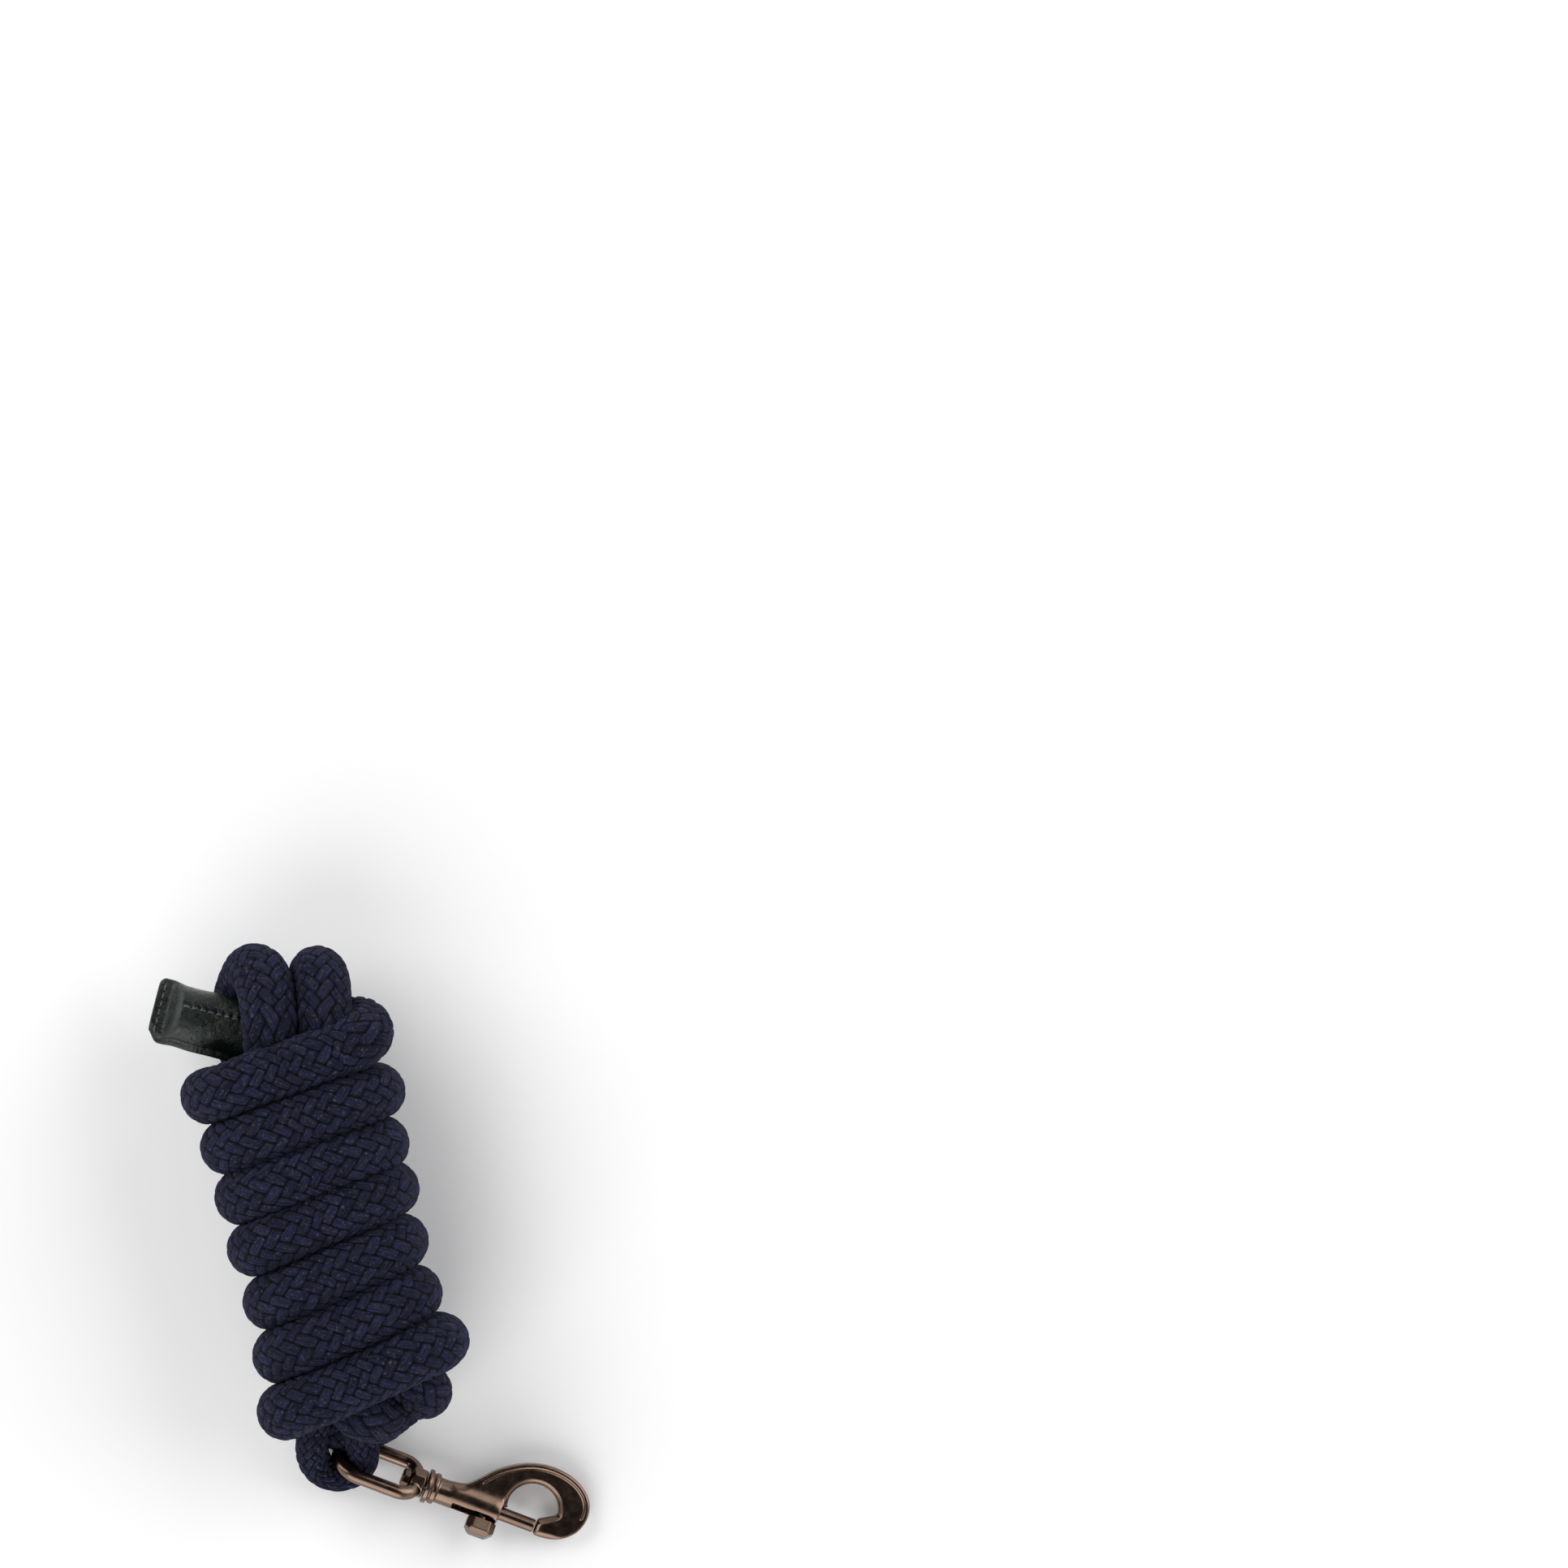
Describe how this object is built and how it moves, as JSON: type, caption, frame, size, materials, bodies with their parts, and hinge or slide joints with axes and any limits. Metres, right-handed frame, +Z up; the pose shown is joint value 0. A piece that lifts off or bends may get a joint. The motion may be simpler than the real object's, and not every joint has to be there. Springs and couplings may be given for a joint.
{
  "type": "lead rope",
  "caption": "Braided rope lead wound into a neat hank, with a leather-sleeved tail held by two bights and a swivel bolt snap with a sprung gate.",
  "frame": {"origin": "centre of the bounding box on the surface that the hank lies on", "axes": "+Y along the hank towards its bights, +Z up from the surface, +X towards the side that the snap points to"},
  "size_m": [0.1582, 0.2144, 0.072],
  "materials": {
    "rope": "matte braided rope",
    "leather": "smooth glossy leather",
    "thread": "waxed sewing thread",
    "bronze": "polished dark copper plating",
    "steel": "spring steel"
  },
  "bodies": {
    "rope": {"rope_hank": "rope", "rope_left_bight": "rope", "rope_right_bight": "rope", "rope_eye": "rope", "rope_tail": "rope", "throat_seizing": "thread", "leather_sleeve": "leather", "sleeve_stitching": "thread"},
    "swivel": {"swivel_eye": "bronze"},
    "snap": {"snap_body": "bronze", "swivel_rivet": "bronze", "bolt_spring": "steel"},
    "bolt": {"bolt_rod": "bronze", "thumb_knob": "bronze"}
  },
  "joints": [
    {"name": "eye_rock", "type": "hinge", "parent": "rope", "child": "swivel", "pos_m": [-0.0028, -0.0795, 0.011], "axis": [0.2943, 0.7667, 0.5705], "range_deg": [-10, 10]},
    {"name": "swivel_spin", "type": "hinge", "parent": "swivel", "child": "snap", "pos_m": [0.0196, -0.0877, 0.009], "axis": [0.93, -0.357, -0.0872], "continuous": true},
    {"name": "bolt_slide", "type": "slide", "parent": "snap", "child": "bolt", "axis": [-0.93, 0.357, 0.0872], "range_m": [0, 0.0104], "stiffness_N_per_m": 350, "springref_m": -0.006, "deforming": ["bolt_spring"]}
  ]
}
